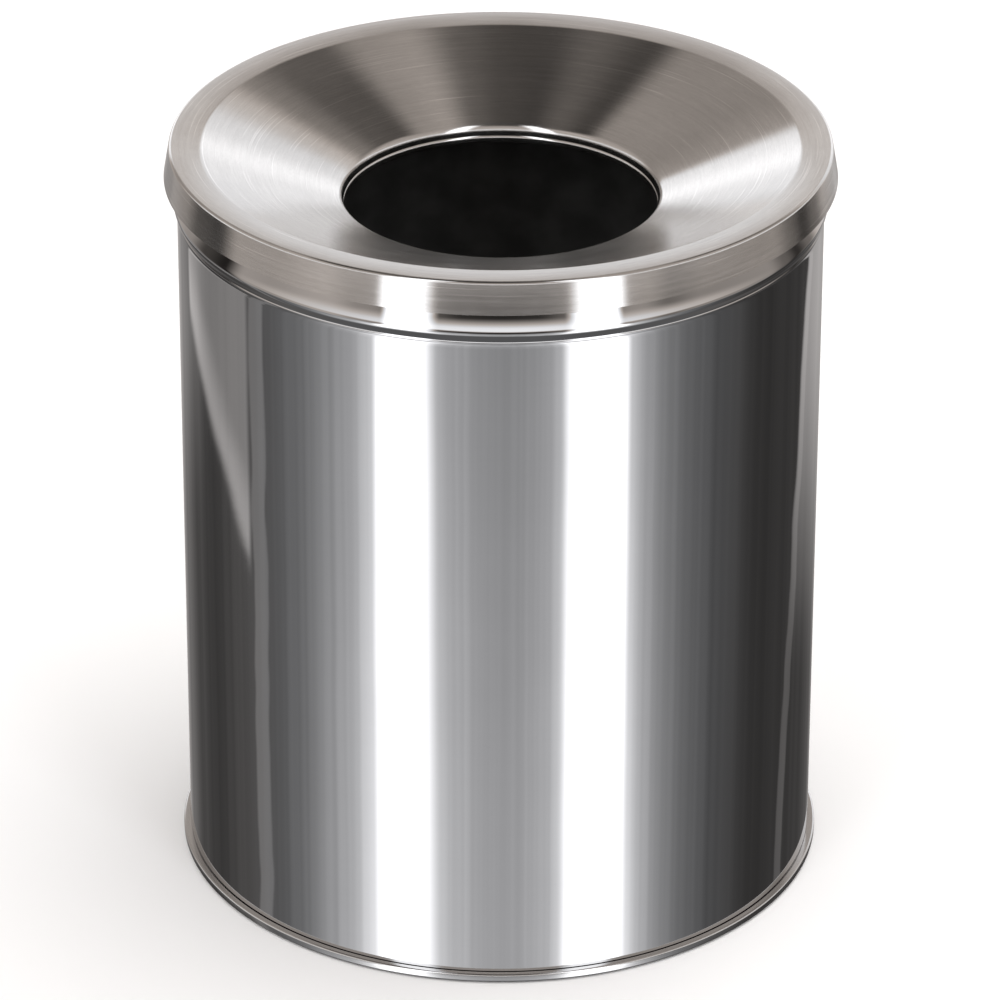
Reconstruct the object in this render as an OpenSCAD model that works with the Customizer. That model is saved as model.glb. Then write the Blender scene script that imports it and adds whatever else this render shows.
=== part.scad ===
// Round litter bin of sheet steel: a standing body, a loose funnel lid and a lift-out liner.
// Millimetres, +Z up. The origin is on the floor, on the bin's axis.

/* [Overall] */
// Height of the whole bin, floor to rim of the lid
overall_h = 350; // [250:1:600]
// Outside diameter of the straight body wall
body_d = 290.6; // [240:0.2:400]
// Thickness of the body, lid and liner sheet
sheet = 0.8; // [0.6:0.1:1.2]

/* [Lid] */
// How far the foot of the skirt stands out from the body wall
skirt_reach = 5.7; // [4:0.1:9]
// How much the skirt leans in towards the top
skirt_lean = 2.3; // [0:0.1:4]
// Height of the skirt
skirt_h = 14.6; // [10:0.1:30]
// Radius of the bend between the skirt and the rim
rim_bend = 1.5; // [1:0.1:3]
// Width of the nearly flat rim round the funnel
rim_w = 14.3; // [8:0.1:25]
// Fall of the rim towards the funnel
rim_fall = 0.9; // [0:0.1:2]
// Slope of the funnel below level, in degrees
funnel_slope = 20.3; // [10:0.1:30]
// Diameter of the mouth
mouth_d = 140; // [100:1:160]
// Radius of the bend where the funnel turns down into the mouth
mouth_bend = 4.2; // [2:0.1:6]
// Height of the straight throat above its bead
throat_h = 1.5; // [1:0.1:10]
// Height of the straight land on the throat's bead, where the mouth is narrowest
throat_land = 1; // [0.5:0.1:3]
// Radius of the wire in the throat's bead
throat_wire_r = 0.9; // [0.6:0.1:2]

/* [Body] */
// Height of the swaged bead's crest below the rim of the lid
bead_drop = 25.6; // [25:0.1:60]
// How far the bead stands out from the wall
bead_out = 1.6; // [1:0.1:2.5]
// Radius of the bead's crest
crest_r = 5; // [4:0.5:8]
// How far the neck above the bead stands in from the wall
neck_in = 0.5; // [0:0.1:1.5]
// Width of the fine lip under the bead
lip_w = 3.6; // [2:0.1:5]
// How far the lip stands out from the wall
lip_out = 0.15; // [0.05:0.05:0.5]
// Radius of the wire in the body's top edge
rim_wire_r = 1.4; // [1:0.1:2.5]
// How far the seam ring at the foot stands out from the wall
ring_reach = 3.2; // [3:0.1:5]
// Height of the seam ring
ring_h = 3.8; // [3.7:0.1:6]

/* [Bottom] */
// Thickness of the bottom sheet
pan_sheet = 1; // [0.8:0.1:1.5]
// Height of the inside floor above the ground
floor_z = 6; // [6:0.5:20]
// Gap between the seam ring and the ground
ring_lift = 0.6; // [0.3:0.1:3]
// Diameter of a foot
foot_d = 24; // [18:1:40]
// Radius of the circle on which the feet stand
foot_circle_r = 118; // [80:1:125]
// Diameter of a rivet's shank
rivet_d = 4; // [3:0.5:5]
// Diameter of a rivet's head
rivet_head_d = 9; // [7:0.5:10]

/* [Liner] */
// Outside diameter of the liner's wall
liner_d = 268; // [200:1:269]
// Gap between the liner's rim and the rim of the lid
liner_drop = 22; // [20:1:60]
// Height of the liner's raised bottom above its foot
liner_kick = 5; // [4:0.5:12]
// Radius of the wire in the liner's rim
liner_wire_r = 1.6; // [1:0.1:2]
// Width of a finger hole
finger_w = 70; // [50:1:100]
// Height of a finger hole
finger_h = 24; // [18:1:30]
// Depth of a finger hole's middle below the liner's rim
finger_drop = 30; // [20:1:60]

/* [Hidden] */

foot_count = 4;     // one node for each foot
turn_fn = 180;      // facets of a full turn in the preview
hole_fn = 48;       // facets of small round parts in the preview
bend_steps = 6;     // straight lengths in a quarter bend
wire_gap = 0.05;    // air round a wire in its curl
rest_gap = 0.3;     // air where a loose part rests on another
crease = 0.8;       // half the width of the soft edge between rim and funnel
throat_step = 0.6;  // how far the throat's bead stands into the mouth
flare_lean = 17;    // lean of the flare above the bead's crest, in degrees
under_lean = 28;    // lean of the bead's underside, in degrees
lip_rise = 1 / 3;   // power that moves the lip's crest up towards the bead
fold_gap = 0.5;     // air between the seam ring's folded edge and the wall
corner = 0.6;       // bevel of a bend in the bottom sheets
foot_bevel = 0.8;   // bevel round the sole of a foot
cut = 1;            // how far a cutting shape runs past a face
steel = "#b8b7b5";
galvanised = "#8d9092";
black_lacquer = "#1b1b1b";
rubber = "#242424";

body_r = body_d / 2;
skirt_r = body_r + skirt_reach;
rim_r = skirt_r - skirt_lean;
break_r = rim_r - rim_w;
break_z = overall_h - rim_fall;
mouth_r = mouth_d / 2;
throat_curl_r = throat_wire_r + wire_gap + sheet;
throat_r = mouth_r + throat_step;
bend_c_r = throat_r + mouth_bend;
// The funnel line meets the mouth bend at its tangent point.
bend_top_r = bend_c_r - mouth_bend * sin(funnel_slope);
bend_top_z = break_z - (break_r - bend_top_r) * tan(funnel_slope);
bend_c_z = bend_top_z - mouth_bend * cos(funnel_slope);
// The throat's wall meets its bead at this angle round the bead's upper centre.
throat_meet = 180 - acos((throat_curl_r - throat_step) / throat_curl_r);
throat_bead_z = bend_c_z - throat_h - throat_curl_r * sin(throat_meet);
throat_curl_z = throat_bead_z - throat_land;

rim_curl_r = rim_wire_r + wire_gap + sheet;
shell_top = overall_h - rim_fall / 2 - sheet - rest_gap;
neck_r = body_r - neck_in;

// The bead's crest is an arc. The flare above it runs softly into the neck, and the straight
// underside meets the wall's lip in a crease.
crest_z = overall_h - bead_drop;
crest_c_r = body_r + bead_out - crest_r;
flare_r = crest_c_r + crest_r * cos(flare_lean);
flare_z = crest_z + crest_r * sin(flare_lean);
flare_h = (flare_r - neck_r) / tan(flare_lean);
under_r = crest_c_r + crest_r * cos(under_lean);
under_z = crest_z - crest_r * sin(under_lean);
lip_top = under_z - (under_r - body_r) / tan(under_lean);

ring_r = body_r + ring_reach;
ring_top = ring_lift + ring_h;
hem_h = ring_h - 2 * pan_sheet - 2 * wire_gap;
hem_z = ring_lift + pan_sheet + wire_gap;
hem_r = ring_r - pan_sheet - wire_gap;

liner_r = liner_d / 2;
liner_z = floor_z + rest_gap;
liner_top = overall_h - liner_drop;
liner_curl_r = liner_wire_r + wire_gap;
rivet_head_h = 1.2;     // height of each of a rivet's heads
rivet_clear = 0.1;      // air round a rivet's shank
rivet_bite = 0.1;       // how far a rivet's solids run into each other
foot_pocket_z = 2.6;    // depth of the pocket in the sole that hides the rivet's head
foot_pocket_r = rivet_head_d / 2 + 1.5;

// Points on an arc about c = [r, z], from angle a0 to a1.
function arc(c, r, a0, a1, steps = bend_steps) =
    [for (i = [0:steps]) let (a = a0 + (a1 - a0) * i / steps) c + r * [cos(a), sin(a)]];

// A soft corner: from a to b, drawn towards the sharp corner at c.
function soft_corner(a, b, c) =
    [for (i = [0:bend_steps]) let (t = i / bend_steps)
        (1 - t) * (1 - t) * a + 2 * t * (1 - t) * c + t * t * b];

// Direction of a path at its point i, turned a quarter to the left.
function left_of(path, i) =
    let (step = path[min(i + 1, len(path) - 1)] - path[max(i - 1, 0)])
    [-step[1], step[0]] / norm(step);

// Outline of a sheet of thickness t that lies on the left of a path.
function sheet_outline(path, t) = concat(
    path,
    [for (i = [len(path) - 1:-1:0]) path[i] + t * left_of(path, i)]
);

// A sheet of thickness t, spun round the bin's axis from its path in [r, z].
module spun_sheet(path, t = sheet) {
    rotate_extrude($fn = turn_fn) polygon(sheet_outline(path, t));
}

module wire_ring(r, z, wire_r) {
    translate([0, 0, z])
        rotate_extrude($fn = turn_fn)
            translate([r, 0]) circle(r = wire_r, $fn = hole_fn);
}

// Places a child at each foot, half way between the X and Y axes.
module at_foot(i) {
    rotate([0, 0, 45 + 360 * i / foot_count]) translate([foot_circle_r, 0, 0]) children();
}

// The flare above the bead's crest. Its first point is the crest's last.
flare = soft_corner([flare_r, flare_z], [neck_r, flare_z + 2 * flare_h],
    [neck_r, flare_z + flare_h]);

// Outside of the shell, from its hemmed foot over the lip and the bead to the end of the
// inward curl.
shell_path = concat(
    [[body_r, hem_z]],
    [for (i = [0:2 * bend_steps])
        let (t = i / (2 * bend_steps))
        [body_r + lip_out * (1 - cos(360 * t)) / 2, lip_top + lip_w * (pow(t, lip_rise) - 1)]],
    arc([crest_c_r, crest_z], crest_r, -under_lean, flare_lean),
    [for (i = [1:bend_steps]) flare[i]],
    arc([neck_r - rim_curl_r, shell_top - rim_curl_r], rim_curl_r, 0, 300, 3 * bend_steps)
);

module body_shell() {
    color(steel) union() {
        spun_sheet(shell_path);
        translate([0, 0, hem_z]) difference() {
            cylinder(r = hem_r, h = hem_h, $fn = turn_fn);
            translate([0, 0, -cut])
                cylinder(r = body_r - sheet / 2, h = hem_h + 2 * cut, $fn = turn_fn);
        }
    }
}

module shell_rim_wire() {
    color(galvanised) wire_ring(neck_r - rim_curl_r, shell_top - rim_curl_r, rim_wire_r);
}

// Underside of the bottom pan, from its centre out and round the hem of the shell.
// The bends are just under the sheet's own thickness, so that the ring looks crisp.
fold_r = 0.9 * pan_sheet;
pan_skirt_r = body_r - sheet - pan_sheet - wire_gap;
pan_path = concat(
    [[0, floor_z - pan_sheet]],
    [[pan_skirt_r - corner, floor_z - pan_sheet], [pan_skirt_r, floor_z - pan_sheet - corner]],
    [[pan_skirt_r, ring_lift + corner], [pan_skirt_r + corner, ring_lift]],
    arc([ring_r - fold_r, ring_lift + fold_r], fold_r, -90, 0),
    arc([ring_r - fold_r, ring_top - fold_r], fold_r, 0, 90),
    [[body_r + fold_gap, ring_top]]
);

module bottom_pan() {
    color(steel) difference() {
        spun_sheet(pan_path, pan_sheet);
        for (i = [0:foot_count - 1])
            at_foot(i)
                cylinder(r = rivet_d / 2 + rivet_clear, h = floor_z + cut, $fn = hole_fn);
    }
}

module foot(i) {
    color(rubber) at_foot(i) difference() {
        union() {
            cylinder(r1 = foot_d / 2 - foot_bevel, r2 = foot_d / 2, h = foot_bevel, $fn = hole_fn);
            translate([0, 0, foot_bevel])
                cylinder(r = foot_d / 2, h = floor_z - pan_sheet - foot_bevel, $fn = hole_fn);
        }
        translate([0, 0, -cut])
            cylinder(r = foot_pocket_r, h = foot_pocket_z + cut, $fn = hole_fn);
        cylinder(r = rivet_d / 2 + rivet_clear, h = floor_z, $fn = hole_fn);
    }
}

module rivet() {
    translate([0, 0, foot_pocket_z - rivet_head_h])
        cylinder(r = rivet_head_d / 2, h = rivet_head_h, $fn = hole_fn);
    translate([0, 0, foot_pocket_z - rivet_bite])
        cylinder(r = rivet_d / 2, h = floor_z - foot_pocket_z + 2 * rivet_bite, $fn = hole_fn);
    translate([0, 0, floor_z])
        cylinder(r1 = rivet_head_d / 2, r2 = rivet_d / 2, h = rivet_head_h, $fn = hole_fn);
}

module foot_rivets() {
    color(galvanised)
        for (i = [0:foot_count - 1])
            at_foot(i) rivet();
}

// Outside of the liner's wall, from its foot to the end of the outward curl.
liner_path = concat(
    [[liner_r, liner_z]],
    arc([liner_r + liner_curl_r, liner_top - liner_curl_r - sheet], liner_curl_r, 180, -110,
        3 * bend_steps)
);

// A slot with round ends through both sides of the liner.
module finger_slot() {
    rotate([0, 90, 0]) linear_extrude(height = body_d, center = true) {
        square([finger_h, finger_w - finger_h], center = true);
        for (side = [-1, 1])
            translate([0, side * (finger_w - finger_h) / 2]) circle(d = finger_h, $fn = hole_fn);
    }
}

module liner_wall() {
    color(black_lacquer) difference() {
        spun_sheet(liner_path);
        translate([0, 0, liner_top - finger_drop]) finger_slot();
    }
}

// Underside of the liner's bottom, turned down at its edge inside the wall.
liner_base_r = liner_r - 2 * sheet;
liner_base_path = [
    [0, liner_z + liner_kick],
    [liner_base_r - corner, liner_z + liner_kick],
    [liner_base_r, liner_z + liner_kick - corner],
    [liner_base_r, liner_z]
];

module liner_base() {
    color(black_lacquer) spun_sheet(liner_base_path);
}

module liner_rim_wire() {
    color(galvanised)
        wire_ring(liner_r + liner_curl_r, liner_top - liner_curl_r - sheet, liner_wire_r);
}

// Upper face of the lid, from the foot of the skirt over the rim and down the funnel to the
// end of the throat's outward curl.
lid_path = concat(
    [[skirt_r, overall_h - skirt_h]],
    arc([rim_r - rim_bend, overall_h - rim_bend], rim_bend, 8, 90),
    soft_corner([break_r + crease, break_z + crease * rim_fall / rim_w],
        [break_r - crease, break_z - crease * tan(funnel_slope)], [break_r, break_z]),
    arc([bend_c_r, bend_c_z], mouth_bend, 90 + funnel_slope, 180),
    arc([mouth_r + throat_curl_r, throat_bead_z], throat_curl_r, throat_meet, 180),
    arc([mouth_r + throat_curl_r, throat_curl_z], throat_curl_r, 180, 440, 3 * bend_steps)
);

module lid_head() {
    color(steel) spun_sheet(lid_path);
}

module throat_wire() {
    color(galvanised) wire_ring(mouth_r + throat_curl_r, throat_curl_z, throat_wire_r);
}

body_shell();
shell_rim_wire();
bottom_pan();
foot(0);  // foot_1
foot(1);  // foot_2
foot(2);  // foot_3
foot(3);  // foot_4
foot_rivets();
liner_wall();
liner_base();
liner_rim_wire();
lid_head();
throat_wire();
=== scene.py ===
# %% [markdown]
# # A litter bin in bright sheet steel
#
# The bin is three loose things: a standing body, a liner inside it, and a funnel lid that is
# lifted off by hand. The frame below holds them all at their real size, and it never moves.
# This lesson puts a fine skin of metal over that frame, gives each metal its own finish,
# and then lights it the way a bright round thing has to be lit: by what it mirrors.

# %% Load the frame
import math

import bmesh
import bpy
from mathutils import Matrix, Vector


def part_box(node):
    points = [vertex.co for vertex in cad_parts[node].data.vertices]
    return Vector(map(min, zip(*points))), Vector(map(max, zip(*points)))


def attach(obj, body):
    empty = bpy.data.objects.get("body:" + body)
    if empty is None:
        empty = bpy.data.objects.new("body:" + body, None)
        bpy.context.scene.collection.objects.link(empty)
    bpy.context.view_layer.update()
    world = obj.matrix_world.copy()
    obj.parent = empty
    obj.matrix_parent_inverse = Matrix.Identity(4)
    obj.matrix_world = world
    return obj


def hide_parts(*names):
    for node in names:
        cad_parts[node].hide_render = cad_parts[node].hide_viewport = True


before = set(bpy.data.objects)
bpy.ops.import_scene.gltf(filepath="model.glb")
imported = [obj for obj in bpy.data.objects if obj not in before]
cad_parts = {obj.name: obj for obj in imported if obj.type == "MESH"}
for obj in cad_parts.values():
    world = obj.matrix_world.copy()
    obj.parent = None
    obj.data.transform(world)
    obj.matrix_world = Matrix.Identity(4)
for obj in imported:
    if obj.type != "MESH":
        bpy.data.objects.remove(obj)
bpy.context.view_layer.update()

MM = 0.001

# %% [markdown]
# ## Sizes
#
# Every size here comes from the frame's own boxes, plus the few that a box can't tell, such
# as how thick the sheet is. The wires in the rolled edges are the best rulers: each wire
# lies against its sheet, so the wire's outside radius gives the radius of the wall.

# %% Sizes of the sheets and their rolled edges
SHEET = 0.8 * MM        # body, lid and liner
PAN_SHEET = 1.0 * MM    # bottom
WIRE_GAP = 0.05 * MM    # air round a wire in its curl


def wire_sizes(node):
    """Radius of the ring's centre line, its height, and the wire's own radius."""
    low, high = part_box(node)
    wire = (high.z - low.z) / 2
    return high.x - wire, (high.z + low.z) / 2, wire


rim_wire_r, rim_wire_z, rim_wire = wire_sizes("shell_rim_wire")
throat_wire_r, throat_wire_z, throat_wire = wire_sizes("throat_wire")
rim_curl = rim_wire + WIRE_GAP + SHEET
throat_curl = throat_wire + WIRE_GAP + SHEET
NECK_R = rim_wire_r + rim_curl
MOUTH_R = throat_wire_r - throat_curl
print(f"neck radius {NECK_R / MM:.1f} mm, mouth radius {MOUTH_R / MM:.1f} mm")

# %% Sizes of the lid
top_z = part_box("lid_head")[1].z
skirt_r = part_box("lid_head")[1].x
SKIRT_H = 14.6 * MM
SKIRT_LEAN = 2.3 * MM
RIM_BEND = 1.5 * MM
RIM_W = 14.3 * MM
RIM_FALL = 0.9 * MM
FUNNEL_SLOPE = math.radians(20.3)
CREASE = 0.8 * MM       # half the width of the soft edge between rim and funnel
MOUTH_BEND = 4.2 * MM
THROAT_STEP = 0.6 * MM
THROAT_LAND = 1.0 * MM  # straight height of the throat's bead
print(f"lid {2 * skirt_r / MM:.0f} mm across, {top_z / MM:.0f} mm high")

# %% Sizes of the wall, its bead and its foot
WALL_R = NECK_R + 0.5 * MM
CREST_Z = top_z - 25.6 * MM
CREST_R = 5.0 * MM      # radius of the bead's rounded crest
BEAD_OUT = 1.6 * MM
FLARE_LEAN = 17.0       # degrees, above the crest
UNDER_LEAN = 28.0       # degrees, below it
LIP_W = 3.6 * MM
LIP_OUT = 0.15 * MM
LIP_RISE = 1 / 3        # power that moves the lip's crest up towards the bead

ring_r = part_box("bottom_pan")[1].x
ring_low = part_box("bottom_pan")[0].z
floor_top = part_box("bottom_pan")[1].z
RING_H = 3.8 * MM
FOLD_GAP = 0.5 * MM     # air between the ring's folded edge and the wall
CORNER = 0.6 * MM       # bevel of the hidden bends in the bottom
print(f"wall radius {WALL_R / MM:.1f} mm, seam ring radius {ring_r / MM:.1f} mm")

# %% [markdown]
# ## Spinning sheet metal
#
# A lid like this is pressed over a turning wooden form, and the body is rolled from a flat
# sheet. Both are round, so one outline spun about the axis makes either. Blender has a
# Screw modifier for that, and it would do. Here the rings are laid by hand in bmesh, since
# the outline is then a plain list of points, and a bend can have as many as it needs: a
# mirror finish shows every flat facet, so the bends are fine and the turn is finer still.

# %% Outlines of thin sheet
TURN_STEPS = 360        # flats in a full turn
BEND_STEPS = 10         # flats in a quarter bend


def arc(centre, radius, start, end, steps=BEND_STEPS):
    """Points (r, z) on an arc, from one angle to another in degrees."""
    angles = [math.radians(start + (end - start) * i / steps) for i in range(steps + 1)]
    return [
        (centre[0] + radius * math.cos(a), centre[1] + radius * math.sin(a)) for a in angles
    ]


def soft_corner(start, end, corner, steps=BEND_STEPS):
    """Points that leave start, lean towards corner and arrive at end."""
    points = []
    for i in range(steps + 1):
        t = i / steps
        weights = ((1 - t) ** 2, 2 * t * (1 - t), t**2)
        points.append(
            tuple(sum(w * p[k] for w, p in zip(weights, (start, corner, end))) for k in (0, 1))
        )
    return points


def sheet_outline(path, thickness):
    """The closed outline of a sheet that lies on the left of a path."""
    far_side = []
    for i, point in enumerate(path):
        before, after = path[max(i - 1, 0)], path[min(i + 1, len(path) - 1)]
        along = Vector((after[0] - before[0], after[1] - before[1])).normalized()
        far_side.append((point[0] - thickness * along.y, point[1] + thickness * along.x))
    return list(path) + far_side[::-1]


# %% Spin outlines into one mesh
SHARP = math.radians(35)  # bends sharper than this keep a hard edge
MERGE = 1e-6            # points nearer each other than this become one


def spin(name, outlines, body):
    """Spins closed outlines of (r, z) about the Z axis, and rides the piece on a body."""
    mesh = bpy.data.meshes.new(name)
    bm = bmesh.new()
    for outline in outlines:
        rings = []
        for step in range(TURN_STEPS):
            a = 2 * math.pi * step / TURN_STEPS
            rings.append([bm.verts.new((r * math.cos(a), r * math.sin(a), z)) for r, z in outline])
        for ring, following in zip(rings, rings[1:] + rings[:1]):
            for i in range(len(outline)):
                j = (i + 1) % len(outline)
                bm.faces.new((ring[i], following[i], following[j], ring[j]))
    bmesh.ops.remove_doubles(bm, verts=bm.verts, dist=MERGE)
    bmesh.ops.recalc_face_normals(bm, faces=bm.faces)
    bm.to_mesh(mesh)
    bm.free()
    mesh.validate()
    mesh.shade_smooth()
    mesh.set_sharp_from_angle(angle=SHARP)
    piece = bpy.data.objects.new(name, mesh)
    bpy.context.scene.collection.objects.link(piece)
    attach(piece, body)
    print(f"{name}: {len(mesh.polygons)} faces")
    return piece


# %% [markdown]
# ## The body shell
#
# The wall is one sheet, rolled and welded down the back. A bead is swaged into it just
# under the lid, which stiffens the wall. It isn't a plain half round: a flare widens
# slowly from the neck to a rounded crest, the underside cuts back in, and a fine lip runs
# where it meets the wall. In a mirror finish each of those is a line of its own. The top
# edge is curled inwards over a wire, so that it carries the lid and cuts nobody.

# %% The bead's outline
def lip_points(top, steps=16):
    """A fine lip that fades out down the wall, and ends sharply at height top."""
    points = []
    for i in range(steps + 1):
        t = i / steps
        out = LIP_OUT * (1 - math.cos(2 * math.pi * t)) / 2
        points.append((WALL_R + out, top + LIP_W * (t**LIP_RISE - 1)))
    return points


flare_tan = math.tan(math.radians(FLARE_LEAN))
under_tan = math.tan(math.radians(UNDER_LEAN))
crest_centre = (WALL_R + BEAD_OUT - CREST_R, CREST_Z)
crest = arc(crest_centre, CREST_R, -UNDER_LEAN, FLARE_LEAN, 16)
flare_h = (crest[-1][0] - NECK_R) / flare_tan
neck_low = (NECK_R, crest[-1][1] + flare_h)
neck_high = (NECK_R, crest[-1][1] + 2 * flare_h)
lip_top = crest[0][1] - (crest[0][0] - WALL_R) / under_tan
print(f"crest at {CREST_Z / MM:.1f} mm, lip at {lip_top / MM:.1f} mm")

# %% Shell
hem_z = ring_low + PAN_SHEET + WIRE_GAP
hem_top = ring_low + RING_H - PAN_SHEET - WIRE_GAP
hem_r = ring_r - PAN_SHEET - WIRE_GAP
shell_path = [(WALL_R, hem_z)] + lip_points(lip_top) + crest
shell_path += soft_corner(crest[-1], neck_high, neck_low)[1:]
shell_path += arc((rim_wire_r, rim_wire_z), rim_curl, 0, 300, 3 * BEND_STEPS)
hem = [(WALL_R, hem_z), (hem_r, hem_z), (hem_r, hem_top), (WALL_R, hem_top)]
shell = spin("shell_skin", [sheet_outline(shell_path, SHEET), hem], "bin")
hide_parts("body_shell")

# %% [markdown]
# ## The weld down the back
#
# Rolled sheet has to be joined somewhere. On a bin of this kind it is a fine butt weld,
# ground nearly flush, and it is turned to the wall. A low rib of its own, thinner than a
# thumbnail, is enough to catch a line of light.

# %% Weld rib
WELD_W = 2.0 * MM
WELD_OUT = 0.18 * MM
WELD_LOW = ring_low + RING_H + 1.5 * MM
WELD_HIGH = lip_top - LIP_W - 1.5 * MM
WELD_ROWS = 160
WELD_ACROSS = 8
WELD_SUNK = 0.02 * MM   # how far the rib's edges lie inside the wall
RIPPLE = 0.15           # share of the rib's height that ripples
RIPPLE_STEP = 2.3       # radians from row to row
BEAT_STEP = 0.31        # slower, so that the ripples swell and fade
FADE_POWER = 0.25       # how late the rib's two ends thin out


def weld_rib():
    """A low rounded strip on the back of the wall, with the ripples of a running weld."""
    mesh = bpy.data.meshes.new("back_weld")
    bm = bmesh.new()
    rows = []
    for i in range(WELD_ROWS + 1):
        z = WELD_LOW + (WELD_HIGH - WELD_LOW) * i / WELD_ROWS
        ripple = 1 - RIPPLE + RIPPLE * math.sin(RIPPLE_STEP * i) * math.sin(BEAT_STEP * i + 1)
        fade = math.sin(math.pi * i / WELD_ROWS) ** FADE_POWER
        row = []
        for j in range(WELD_ACROSS + 1):
            across = 2 * j / WELD_ACROSS - 1
            r = WALL_R + WELD_OUT * ripple * fade * (1 - across**2) - WELD_SUNK
            a = math.pi / 2 - across * WELD_W / 2 / WALL_R
            row.append(bm.verts.new((r * math.cos(a), r * math.sin(a), z)))
        rows.append(row)
    for low, high in zip(rows, rows[1:]):
        for j in range(WELD_ACROSS):
            bm.faces.new((low[j], low[j + 1], high[j + 1], high[j]))
    bmesh.ops.recalc_face_normals(bm, faces=bm.faces)
    bm.to_mesh(mesh)
    bm.free()
    mesh.shade_smooth()
    piece = bpy.data.objects.new("back_weld", mesh)
    bpy.context.scene.collection.objects.link(piece)
    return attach(piece, "bin")


weld = weld_rib()
print("weld rib:", len(weld.data.polygons), "faces")

# %% [markdown]
# ## The bottom and its seam ring
#
# The bottom is a separate sheet. Its edge turns down inside the wall, out under the hem,
# and is folded back over it, so the fold is the bright ring round the foot of the bin. The
# gap that is left between the fold and the wall shows as a fine dark line. The bin itself
# stands on four rubber feet below, which are the frame's own.

# %% Bottom pan
fold_r = 0.9 * PAN_SHEET
pan_r = WALL_R - SHEET - PAN_SHEET - WIRE_GAP
pan_z = floor_top - PAN_SHEET
ring_top = ring_low + RING_H
pan_path = [(0.0, pan_z), (pan_r - CORNER, pan_z), (pan_r, pan_z - CORNER)]
pan_path += [(pan_r, ring_low + CORNER), (pan_r + CORNER, ring_low)]
pan_path += arc((ring_r - fold_r, ring_low + fold_r), fold_r, -90, 0)
pan_path += arc((ring_r - fold_r, ring_top - fold_r), fold_r, 0, 90)
pan_path += [(WALL_R + FOLD_GAP, ring_top)]
pan = spin("bottom_skin", [sheet_outline(pan_path, PAN_SHEET)], "bin")
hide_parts("bottom_pan")

# %% [markdown]
# ## The lid
#
# One disc of steel is spun into the whole lid: skirt, rim, funnel and throat. The path runs
# up the skirt, over the tight bend at the rim, down the funnel, round the bend at the mouth
# and out under the throat, where it curls over a wire. The bend and the curl are the two
# bright lines at the mouth, and the short straight throat between them is the dark one.
# A straight land on the curl keeps the mouth true for anything that is dropped into it.

# %% Lid
rim_r = skirt_r - SKIRT_LEAN
break_r, break_z = rim_r - RIM_W, top_z - RIM_FALL
bend_r = MOUTH_R + THROAT_STEP + MOUTH_BEND
bend_start_r = bend_r - MOUTH_BEND * math.sin(FUNNEL_SLOPE)
bend_start_z = break_z - (break_r - bend_start_r) * math.tan(FUNNEL_SLOPE)
bend_z = bend_start_z - MOUTH_BEND * math.cos(FUNNEL_SLOPE)
slope_deg = math.degrees(FUNNEL_SLOPE)
throat_bead_z = throat_wire_z + THROAT_LAND
throat_meet = 180 - math.degrees(math.acos((throat_curl - THROAT_STEP) / throat_curl))

lid_path = [(skirt_r, top_z - SKIRT_H)]
lid_path += arc((rim_r - RIM_BEND, top_z - RIM_BEND), RIM_BEND, 8, 90)
lid_path += soft_corner(
    (break_r + CREASE, break_z + CREASE * RIM_FALL / RIM_W),
    (break_r - CREASE, break_z - CREASE * math.tan(FUNNEL_SLOPE)),
    (break_r, break_z),
)
lid_path += arc((bend_r, bend_z), MOUTH_BEND, 90 + slope_deg, 180)
lid_path += arc((throat_wire_r, throat_bead_z), throat_curl, throat_meet, 180)
lid_path += arc((throat_wire_r, throat_wire_z), throat_curl, 180, 440, 3 * BEND_STEPS)
lid = spin("lid_skin", [sheet_outline(lid_path, SHEET)], "lid")
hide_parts("lid_head")

# %% [markdown]
# ## Writing shaders as sums
#
# A node tree is only arithmetic, so it reads best as arithmetic. `Signal` wraps one output
# socket: adding or multiplying signals adds the Math nodes for it. Everything that isn't a
# sum of values, such as a noise, a ramp or a shader, comes from the one method `add`.

# %% Signals and nodes
class Signal:
    """One output socket that can be used in Python sums."""

    def __init__(self, nodes, socket):
        self.nodes = nodes
        self.socket = socket

    def maths(self, operation, *others):
        """A Math node on this signal and others."""
        sockets = dict(enumerate((self, *others)))
        return self.nodes.add("Math", {"operation": operation}, sockets)["Value"]

    def __add__(self, other):
        return self.maths("ADD", other)

    def __sub__(self, other):
        return self.maths("SUBTRACT", other)

    def __rsub__(self, other):
        return -self + other

    def __neg__(self):
        return self * -1.0

    def __mul__(self, other):
        return self.maths("MULTIPLY", other)

    def __truediv__(self, other):
        return self.maths("DIVIDE", other)

    def __pow__(self, other):
        return self.maths("POWER", other)

    def __abs__(self):
        return self.maths("ABSOLUTE")

    __radd__ = __add__
    __rmul__ = __mul__

    @staticmethod
    def total(signals):
        """The sum of several signals."""
        first, *others = signals
        return sum(others, first)

    def rise(self, low, high):
        """0 below low, 1 above high, and a smooth step between."""
        sockets = {"Value": self, "From Min": low, "From Max": high}
        return self.nodes.add("MapRange", {"interpolation_type": "SMOOTHSTEP"}, sockets)["Result"]

    def between(self, low, high, soft):
        """1 between low and high, with soft edges outside them."""
        return self.rise(low - soft, low) * (1 - self.rise(high, high + soft))

    def curve(self, stops):
        """A smooth curve through a few (place, value) stops."""
        first, last = stops[0][0], stops[-1][0]
        sockets = {"Value": self, "From Min": first, "From Max": last}
        share = self.nodes.add("MapRange", {}, sockets)["Result"]
        shares = [((place - first) / (last - first), value) for place, value in stops]
        return self.nodes.add("ValToRGB", {"stops": shares}, {"Fac": share})["Color"]


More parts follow.
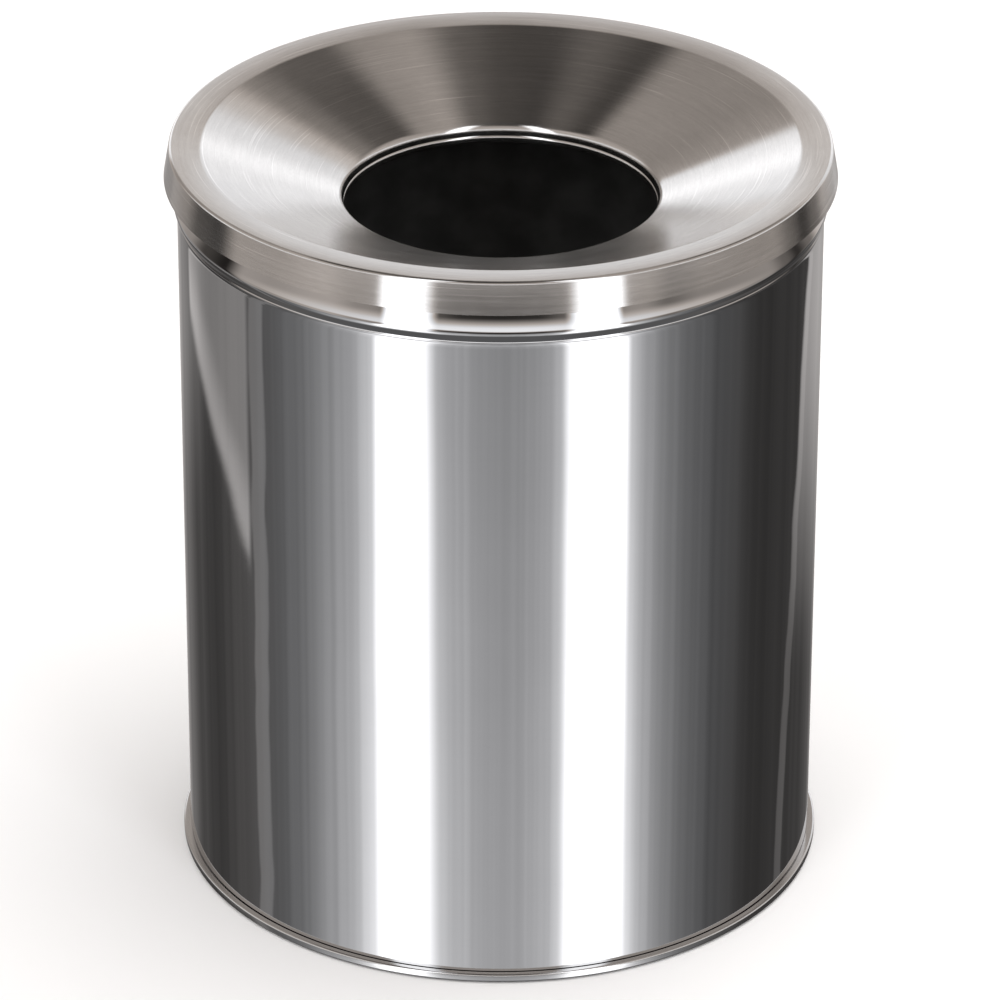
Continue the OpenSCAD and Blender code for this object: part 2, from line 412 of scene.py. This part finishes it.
class Nodes:
    """A node tree that grows as it is asked for nodes."""

    def __init__(self, tree):
        self.tree = tree
        tree.nodes.clear()

    def add(self, kind, settings, inputs):
        """A node of that kind: settings first, then its sockets' values or links."""
        made = self.tree.nodes.new("ShaderNode" + kind)
        for name, value in settings.items():
            if name == "stops":
                self.set_stops(made.color_ramp, value)
            else:
                setattr(made, name, value)
        for key, value in inputs.items():
            socket = self.find(made.inputs, key)
            if isinstance(value, Signal):
                self.tree.links.new(value.socket, socket)
            else:
                socket.default_value = value
        return {s.name: Signal(self, s) for s in made.outputs if s.enabled}

    @staticmethod
    def find(sockets, key):
        """A socket by its place, or by name among those that the settings leave on."""
        if isinstance(key, int):
            return sockets[key]
        return next(s for s in sockets if s.enabled and s.name == key)

    @staticmethod
    def set_stops(ramp, stops):
        """Gives a ramp its stops, with soft bends between them."""
        ramp.interpolation = "EASE"
        while len(ramp.elements) < len(stops):
            ramp.elements.new(1.0)
        for element, (place, value) in zip(ramp.elements, stops):
            element.position = place
            element.color = (value, value, value, 1.0)

    def mix(self, share, one, other):
        """One colour where share is 0, the other where it is 1."""
        sockets = {"Factor": share, "A": one, "B": other}
        return self.add("Mix", {"data_type": "RGBA"}, sockets)["Result"]


# %% [markdown]
# ## Where a point lies on a turned piece
#
# Brushing on a turned lid runs in circles, so its grain needs turned coordinates: how far
# round, and how far along the outline. Feeding an angle to a noise would leave a seam at
# the back. Its cosine and sine don't, so the grain's vector is built from those.

# %% Turned coordinates
class Turned:
    """Radius, height and unit direction from the axis, as signals."""

    def __init__(self, nodes):
        self.nodes = nodes
        place = nodes.add("TexCoord", {}, {})["Object"]
        xyz = nodes.add("SeparateXYZ", {}, {"Vector": place})
        x, y, self.height = xyz["X"], xyz["Y"], xyz["Z"]
        self.place = place
        self.radius = (x * x + y * y) ** 0.5
        self.cos, self.sin = x / self.radius, y / self.radius

    def grain(self, round_scale, along_scale, detail, shift):
        """Noise drawn out into rings: round_scale per radian, along_scale per metre."""
        along = (self.radius + self.height) * along_scale + shift
        sockets = {"X": self.cos * round_scale, "Y": self.sin * round_scale, "Z": along}
        vector = self.nodes.add("CombineXYZ", {}, sockets)["Vector"]
        noise = {"Vector": vector, "Scale": 1.0, "Detail": detail, "Roughness": 0.6}
        return self.nodes.add("TexNoise", {}, noise)["Fac"]

    def cloud(self, scale, detail=2.0):
        """Plain noise at so many features per metre."""
        noise = {"Vector": self.place, "Scale": scale, "Detail": detail}
        return self.nodes.add("TexNoise", {}, noise)["Fac"]


# %% [markdown]
# ## Brushed steel
#
# Fine scratches all run one way, so the metal mirrors sharply along them and smears across
# them. The shader's Anisotropic value does that, and a quarter turn of its direction makes
# the smear run up and down, across the circles of the brushing. Painted scratches could do
# it too, but they would have to be finer than anything that can be drawn.
#
# Noise then breaks the finish up. Hairs, rings and arcs are brush marks of three lengths,
# scores are the few deep ones, and clouds are handling and wiping. Waves are the slow
# unevenness of rolled sheet, and they bend the upright lines that the polished wall mirrors.

# %% Brushed steel
QUARTER_TURN = 0.25     # of a full turn
TINT_REACH = 0.5        # darkest and lightest tint, as a share of the colour
RING_ROUGH = 0.3        # how far rings and clouds change the roughness
CLOUD_ROUGH = 0.5


GRAINS = {              # features per radian, features per metre, detail and shift
    "hair": (30.0, 2400.0, 2.0, 0.0),
    "rings": (1.6, 900.0, 3.0, 31.0),
    "arcs": (7.0, 300.0, 3.0, 57.0),
    "waves": (2.6, 11.0, 1.0, 7.0),
    "scores": (1.8, 1300.0, 1.0, 91.0),
}


def steel_grain(turned, kind):
    """One kind of unevenness, around 0, or from 0 to 1 for the scores."""
    if kind == "clouds":
        return turned.cloud(22.0, detail=4.0) - 0.5
    noise = turned.grain(*GRAINS[kind])
    return noise.rise(0.66, 0.74) if kind == "scores" else noise - 0.5


def steel(name, colour, roughness, smear, tints, dents):
    """A steel with a tint strength for each grain, and a depth in metres for each dent."""
    material = bpy.data.materials.new(name)
    material.use_nodes = True
    nodes = Nodes(material.node_tree)
    turned = Turned(nodes)
    kinds = dict.fromkeys(["rings", "clouds", *tints, *dents])
    grains = {kind: steel_grain(turned, kind) for kind in kinds}
    shade = Signal.total(grains[key] * strength for key, strength in tints.items())
    dark = [c * (1 - TINT_REACH) for c in colour] + [1.0]
    light = [c * (1 + TINT_REACH) for c in colour] + [1.0]
    rough = roughness * (1 + grains["rings"] * RING_ROUGH + grains["clouds"] * CLOUD_ROUGH)
    height = Signal.total(grains[key] * depth for key, depth in dents.items())
    bump = nodes.add("Bump", {}, {"Height": height, "Distance": 1.0, "Strength": 1.0})["Normal"]
    metal = {
        "Base Color": nodes.mix(shade + 0.5, dark, light),
        "Metallic": 1.0,
        "Roughness": rough,
        "Anisotropic": smear,
        "Anisotropic Rotation": QUARTER_TURN,
        "Normal": bump,
    }
    shader = nodes.add("BsdfPrincipled", {}, metal)["BSDF"]
    nodes.add("OutputMaterial", {}, {"Surface": shader})
    return material


# %% Three steels: the polished wall, the turned lid and the folded ring
shell_steel = steel(
    "shell_steel", (0.62, 0.62, 0.625), 0.03, 0.3,
    {"clouds": 0.06, "arcs": 0.02}, {"waves": 1.2e-4, "clouds": 1e-5},
)
lid_steel = steel(
    "lid_steel", (0.62, 0.61, 0.60), 0.15, 0.9,
    {"hair": 0.18, "rings": 0.18, "arcs": 0.16, "clouds": 0.22, "scores": 0.22},
    {"hair": 5e-7, "rings": 2e-6, "arcs": 6e-6},
)
ring_steel = steel(
    "ring_steel", (0.60, 0.60, 0.60), 0.15, 0.5,
    {"rings": 0.10, "clouds": 0.10}, {"rings": 1e-6, "waves": 1e-4},
)
print("steels:", shell_steel.name, lid_steel.name, ring_steel.name)

# %% [markdown]
# ## The other finishes
#
# The liner is dipped in black lacquer, which is dark and a little orange-peeled. The wires
# are galvanised: zinc cools in pale patches called spangle, and a Voronoi texture has just
# that look. The feet are plain black rubber with a dusting of wear. All three are one
# recipe, a colour and a roughness that follow the same pattern, so one function makes them.

# %% Lacquer, zinc and rubber
SPANGLE = 420.0         # patches of zinc per metre


def coated(name, dark, light, patch, rough_low, rough_high, metallic, bump_depth, bump_scale):
    """A finish whose colour and roughness follow one pattern, with a fine uneven skin."""
    material = bpy.data.materials.new(name)
    material.use_nodes = True
    nodes = Nodes(material.node_tree)
    turned = Turned(nodes)
    if patch == "spangle":
        sockets = {"Vector": turned.place, "Scale": SPANGLE}
        cells = nodes.add("TexVoronoi", {}, sockets)["Color"]
        pattern = nodes.add("SeparateColor", {}, {"Color": cells})["Red"]
    else:
        pattern = turned.cloud(60.0, detail=5.0).rise(0.3, 0.75)
    skin = turned.cloud(bump_scale, detail=3.0)
    bump = nodes.add("Bump", {}, {"Height": skin * bump_depth, "Distance": 1.0})["Normal"]
    finish = {
        "Base Color": nodes.mix(pattern, (*dark, 1.0), (*light, 1.0)),
        "Metallic": metallic,
        "Roughness": rough_low + pattern * (rough_high - rough_low),
        "Normal": bump,
    }
    shader = nodes.add("BsdfPrincipled", {}, finish)["BSDF"]
    nodes.add("OutputMaterial", {}, {"Surface": shader})
    return material


lacquer = coated(
    "black_lacquer", (0.038, 0.038, 0.037), (0.064, 0.064, 0.062), "cloud",
    0.35, 0.5, 0.0, 2e-5, 900.0,
)
zinc = coated(
    "zinc_wire", (0.42, 0.44, 0.46), (0.62, 0.63, 0.64), "spangle",
    0.28, 0.5, 1.0, 1e-5, 2500.0,
)
rubber = coated(
    "foot_rubber", (0.018, 0.018, 0.019), (0.05, 0.05, 0.05), "cloud",
    0.6, 0.85, 0.0, 4e-5, 3000.0,
)

# %% [markdown]
# ## Who wears what
#
# Each frame node gets a finish too, also those that a finer skin stands for. A table of
# names keeps this readable: the part on the left, what it is made of on the right.

# %% Hand the finishes out
FINISHES = {
    "shell_rim_wire": zinc, "liner_rim_wire": zinc, "throat_wire": zinc, "foot_rivets": zinc,
    "liner_wall": lacquer, "liner_base": lacquer,
    "foot_1": rubber, "foot_2": rubber, "foot_3": rubber, "foot_4": rubber,
    "body_shell": shell_steel, "lid_head": lid_steel, "bottom_pan": ring_steel,
}


def dress(piece, material):
    """Gives a piece one material, in place of any it has."""
    piece.data.materials.clear()
    piece.data.materials.append(material)


for node_name, finish in FINISHES.items():
    dress(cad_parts[node_name], finish)
SKINS = [(shell, shell_steel), (weld, shell_steel), (pan, ring_steel), (lid, lid_steel)]
for piece, finish in SKINS:
    dress(piece, finish)
print("finished pieces:", len(FINISHES) + len(SKINS))

# %% [markdown]
# ## What the steel mirrors
#
# Bright steel has hardly a colour of its own: it shows the room. A real room of panels and
# screens could be built round the bin, but every other view would look into it. So the room
# is drawn as a sky of soft shapes, which lights the bin but isn't seen past it. In front,
# to both sides of the viewer, stand two tall white panels, which make the two stripes.
# Between them the wall mirrors pale floor, and outside them the light dies away into a dark
# room. Directions are in degrees: `around` is 0 straight in front of the bin and grows to
# the right, and `above` is the height over the horizon.

# %% Directions in the room
world = bpy.data.worlds.new("studio")
bpy.context.scene.world = world
world.use_nodes = True
sky = Nodes(world.node_tree)
toward = sky.add("TexCoord", {}, {})["Generated"]
part = sky.add("SeparateXYZ", {}, {"Vector": toward})
DEGREES = 180 / math.pi
around = part["X"].maths("ARCTAN2", -part["Y"]) * DEGREES
above = part["Z"].maths("ARCSINE") * DEGREES

# %% [markdown]
# ## The lower room
#
# The wall stands upright and is seen from above, so it mirrors only what lies below the
# horizon. A curve of brightness round the bin gives its broad stripes, slow noise breaks
# that into narrower ones, and a few separate things are added at the sides.

# %% The floor's half of the room, mirrored by the wall
low_room = around.curve([
    (-180, 0.45), (-156, 0.16), (-144, 0.085), (-126, 0.06), (-108, 0.10), (-90, 0.13),
    (-78, 0.21), (-66, 0.38), (-57, 0.52), (-46, 1.0), (-25, 1.0), (-18, 0.62), (-8, 0.48),
    (0, 0.43), (10, 0.47), (18, 0.58), (24, 1.0), (46, 1.0), (54, 0.52), (62, 0.30),
    (72, 0.18), (86, 0.10), (108, 0.045), (124, 0.05), (146, 0.06), (160, 0.10), (180, 0.40),
])
FALL_OFF = 0.24         # the floor near the bin is brighter by this share, far off darker
BANDS_ROUND = 0.22      # bands per degree round the bin
BANDS_UP = 0.03         # and per degree of height, so they stand nearly upright
BAND_DEPTH = 0.5        # how far the bands change the brightness
in_front = 1 - abs(around).rise(50, 90)
low_room = low_room * (1 + in_front * (FALL_OFF - above.rise(-33, -24) * 2 * FALL_OFF))
spot = sky.add("CombineXYZ", {}, {"X": around * BANDS_ROUND, "Y": above * BANDS_UP})["Vector"]
bands = sky.add("TexNoise", {"noise_dimensions": "2D"}, {"Vector": spot, "Scale": 1.0})["Fac"]
low_room = low_room * (1 + (bands - 0.5) * BAND_DEPTH)

# %% Things at the room's sides: on the left a bright doorway, on the right a pale wall
WANDER = 5              # degrees, how far upright lines stray in the uneven sheet
WIGGLES = 0.9           # turns of an upright line per degree of height
DOOR_SLOPE = 0.0517     # degrees that the doorway's lower edge falls per degree round
WALL_LEAN = 3.3         # degrees round that the pale wall's edge moves per degree of height
heights = {"W": above * WIGGLES, "Scale": 1.0}
wiggle = sky.add("TexNoise", {"noise_dimensions": "1D"}, heights)["Fac"]
wandering = around + (wiggle - 0.5) * WANDER
streak = wandering.between(-100, -94, 1.5) * 0.12
above_slope = above + 26.1 + (around + 137) * DOOR_SLOPE
slope_glint = above_slope.rise(-0.15, 0.1) * (1 - above_slope.rise(0.1, 0.9))
doorway = around.between(-146, -104, 3) * (above_slope.rise(-0.2, 0.2) * 0.2 + slope_glint * 0.2)
upper_left = (1 - around.rise(-146, -128)) * above.rise(-27.6, -25.4) * 0.11
right_line = 136 + (above + 27) * WALL_LEAN
past_line = wandering - right_line
thin_line = past_line.between(0, 4, 1.5) * 0.08
pale_wall = past_line.rise(-1.5, 1.5) * above.rise(-29, -25.2) * 0.38
low_room = low_room + streak + doorway + upper_left
low_room = low_room + thin_line + pale_wall * (1 - around.rise(158, 178))
UNDERFOOT = 0.13        # brightness of the floor close to the bin
shade_below = above.rise(-52, -37)
low_room = low_room * shade_below + (1 - shade_below) * UNDERFOOT

# %% [markdown]
# ## Eye level and overhead
#
# The skirt leans in a little, so it looks further up than the wall and mirrors the room at
# eye level: dark in the middle, brighter at the sides. The bead's long flare looks higher
# still. Each height gets its own curve, and they fade into each other.

# %% Eye level, mirrored by the leaning skirt
eye_room = around.curve([
    (-180, 0.6), (-168, 0.58), (-144, 0.47), (-132, 0.36), (-119, 0.07), (-106, 0.02),
    (-96, 0.43), (-84, 0.40), (-60, 0.52), (-48, 0.35), (-24, 0.14), (-12, 0.04), (0, 0.03),
    (12, 0.04), (24, 0.18), (48, 0.38), (58, 0.20), (72, 0.32), (102, 0.36), (112, 0.16),
    (120, 0.04), (130, 0.20), (140, 0.68), (152, 0.98), (166, 0.70), (180, 0.55),
])
overhead = above.curve([
    (-7, 1.0), (0, 1.0), (8, 1.4), (14, 1.1), (22, 0.55), (50, 0.48), (90, 0.48),
])
eye_level = above.rise(-23, -15)
front = low_room * (1 - eye_level) + eye_room * eye_level
raised = above.rise(-7, 7)
front = front * (1 - raised) + overhead * raised

# %% [markdown]
# ## What the funnel mirrors
#
# A cone gathers the room round one point: the spot that a level mirror at its place would
# show. Whatever stands round that spot, near or far, comes out as rays down the cone. So
# the upper part of the room is drawn as wedges round it. `turned_to` is the side of the
# funnel that mirrors a direction, 0 at the near side and growing to the right, and `tipped`
# is how far the metal there must lean.

# %% The room as wedges round the level mirror's spot
VIEW_DOWN = math.radians(27.3)
half_x = part["X"]
half_y = part["Y"] - math.cos(VIEW_DOWN)
half_z = part["Z"] + math.sin(VIEW_DOWN)
turned_to = (-half_x).maths("ARCTAN2", half_y) * DEGREES
tipped = ((half_x * half_x + half_y * half_y) ** 0.5).maths("ARCTAN2", half_z) * DEGREES
wedges = turned_to.curve([
    (-180, 0.08), (-171, 0.14), (-161, 0.44), (-151, 0.38), (-142, 0.10), (-131, 0.12),
    (-120, 0.27), (-110, 0.72), (-98, 1.10), (-84, 1.50), (-72, 1.25), (-46, 1.05),
    (-32, 0.72), (-20, 0.50), (0, 0.42), (26, 0.45), (40, 0.75), (66, 1.25), (78, 1.60),
    (91, 1.30), (97, 0.40), (112, 0.33), (140, 0.35), (147, 0.05), (160, 0.14), (169, 0.06),
    (180, 0.08),
])
glow = above.curve([
    (0, 1.1), (14, 1.0), (18, 1.05), (21, 1.1), (24, 0.72), (28, 0.44), (34, 0.38), (90, 0.35),
])
level_spot = 1 - tipped.rise(9, 15)
high_room = wedges * (1 - level_spot) + glow * level_spot

# %% [markdown]
# ## One room from its parts
#
# The funnel's part of the room lies behind the bin and straight overhead, so it replaces
# the front there. The panels go on last, because they outshine everything, and their outer
# edges close in a little as they rise. The dimmer parts of the room are tinted warm, from
# eye level up and at the sides, as bare metal looks indoors.

# %% Put the parts together
LEFT_PANEL = (-45, -25.5)  # degrees round, from one edge to the other
RIGHT_PANEL = (25, 46)
PANEL_GLOW = 2.4
WHITE = (1.0, 1.0, 1.0, 1.0)
COOL = (1.0, 1.0, 1.02, 1.0)
WARM = (1.09, 0.98, 0.90, 1.0)
behind = abs(around).rise(105, 140)
high = (above + behind * 18).rise(8, 24)
room = front * (1 - high * behind) + high_room * (high * behind)
zenith = above.rise(50, 62)
room = room * (1 - zenith) + high_room * zenith
narrowing = above.rise(-27, -8) * 6
inward = above.rise(-22, -14) * 2.5
from_left = (around - LEFT_PANEL[0] - narrowing).rise(-2, 2)
left_panel = from_left * (1 - (around - LEFT_PANEL[1] - inward).rise(-4, 3))
from_right = 1 - (around - RIGHT_PANEL[1] + narrowing).rise(-2, 2)
right_panel = (around - RIGHT_PANEL[0]).rise(-4, 3) * from_right
panels = (left_panel + right_panel) * (1 - above.rise(62, 70)) * above.rise(-39, -36)
radiance = room * (1 - panels) + panels * PANEL_GLOW
at_side = abs(around).rise(80, 110) * (1 - above.rise(-24, -14)) * 0.4
warmth = (above.between(-14, 80, 8) + at_side) * (1 - radiance.rise(0.5, 1.1))
tone = sky.mix(warmth, COOL, WARM)
lit = sky.add("Background", {}, {"Color": tone, "Strength": radiance})["Background"]
seen = sky.add("Background", {}, {"Color": WHITE, "Strength": 1.0})["Background"]
ray = sky.add("LightPath", {}, {})["Is Camera Ray"]
both = sky.add("MixShader", {}, {0: ray, 1: lit, 2: seen})["Shader"]
sky.add("OutputWorld", {}, {"Surface": both})
print("room:", len(world.node_tree.nodes), "nodes")

# %% [markdown]
# ## Floor and lamps
#
# The floor is plain and pale. The steel is kept from mirroring it, because the room above
# already says what lies in front of the bin. It is small enough that its edge is still
# nearly as bright as the white beyond, so it hardly shows as a horizon. A broad lamp high on
# the right gives the soft shadow on the left, and a very wide sheet of light overhead keeps
# that shadow pale and the floor evenly lit.

# %% Floor
FLOOR_HALF = 2.4        # metres from the middle to an edge
FLOOR_DROP = 0.1 * MM


def pale_floor():
    """A square of floor that lights the bin but isn't mirrored in it."""
    mesh = bpy.data.meshes.new("floor")
    signs = [(-1, -1), (1, -1), (1, 1), (-1, 1)]
    corners = [(x * FLOOR_HALF, y * FLOOR_HALF, -FLOOR_DROP) for x, y in signs]
    mesh.from_pydata(corners, [], [(0, 1, 2, 3)])
    piece = bpy.data.objects.new("floor", mesh)
    bpy.context.scene.collection.objects.link(piece)
    material = bpy.data.materials.new("floor_paint")
    material.use_nodes = True
    nodes = Nodes(material.node_tree)
    paint = {"Base Color": (0.9, 0.9, 0.9, 1.0), "Roughness": 0.9, "Specular IOR Level": 0.0}
    shader = nodes.add("BsdfPrincipled", {}, paint)["BSDF"]
    nodes.add("OutputMaterial", {}, {"Surface": shader})
    dress(piece, material)
    piece.visible_glossy = False
    return piece


floor = pale_floor()
print(f"floor {2 * FLOOR_HALF:.1f} m across:", floor.name)

# %% Lamps


def soft_lamp(name, place, aim, size, power):
    """A square lamp that lights the floor but isn't mirrored in the steel."""
    data = bpy.data.lights.new(name, "AREA")
    data.shape = "SQUARE"
    data.size = size
    data.energy = power
    lamp = bpy.data.objects.new(name, data)
    bpy.context.scene.collection.objects.link(lamp)
    lamp.location = place
    lamp.rotation_euler = (Vector(aim) - Vector(place)).to_track_quat("-Z", "Y").to_euler()
    lamp.visible_glossy = False
    lamp.visible_camera = False
    return lamp


key = soft_lamp("key", (0.42, 0.26, 2.2), (0, 0, 0.1), 1.2, 15.0)
overhead_lamp = soft_lamp("overhead", (0, 0, 3.4), (0, 0, 0), 12.0, 285.0)
print("lamps:", key.name, "and", overhead_lamp.name)

# %% [markdown]
# ## The viewer
#
# A long lens from well back and above, looking down at the bin by a little over 27 degrees,
# keeps the walls nearly upright and shows the funnel open.

# %% Camera
LENS = 227.46           # millimetres
SENSOR = 36.0           # millimetres
TIP_DOWN = 0.47627      # radians below level
ROLL = 0.00257          # radians
VIEWER_PLACE = (0.0, -2.58377, 1.50202)
camera_data = bpy.data.cameras.new("viewer")
camera_data.sensor_width = SENSOR
camera_data.lens = LENS
viewer = bpy.data.objects.new("viewer", camera_data)
bpy.context.scene.collection.objects.link(viewer)
turn = Matrix.Rotation(math.pi / 2 - TIP_DOWN, 4, "X") @ Matrix.Rotation(ROLL, 4, "Z")
viewer.matrix_world = Matrix.Translation(VIEWER_PLACE) @ turn
bpy.context.scene.camera = viewer
bpy.context.scene.view_settings.view_transform = "Standard"
print(f"camera {Vector(VIEWER_PLACE).length:.2f} m from the bin's foot")
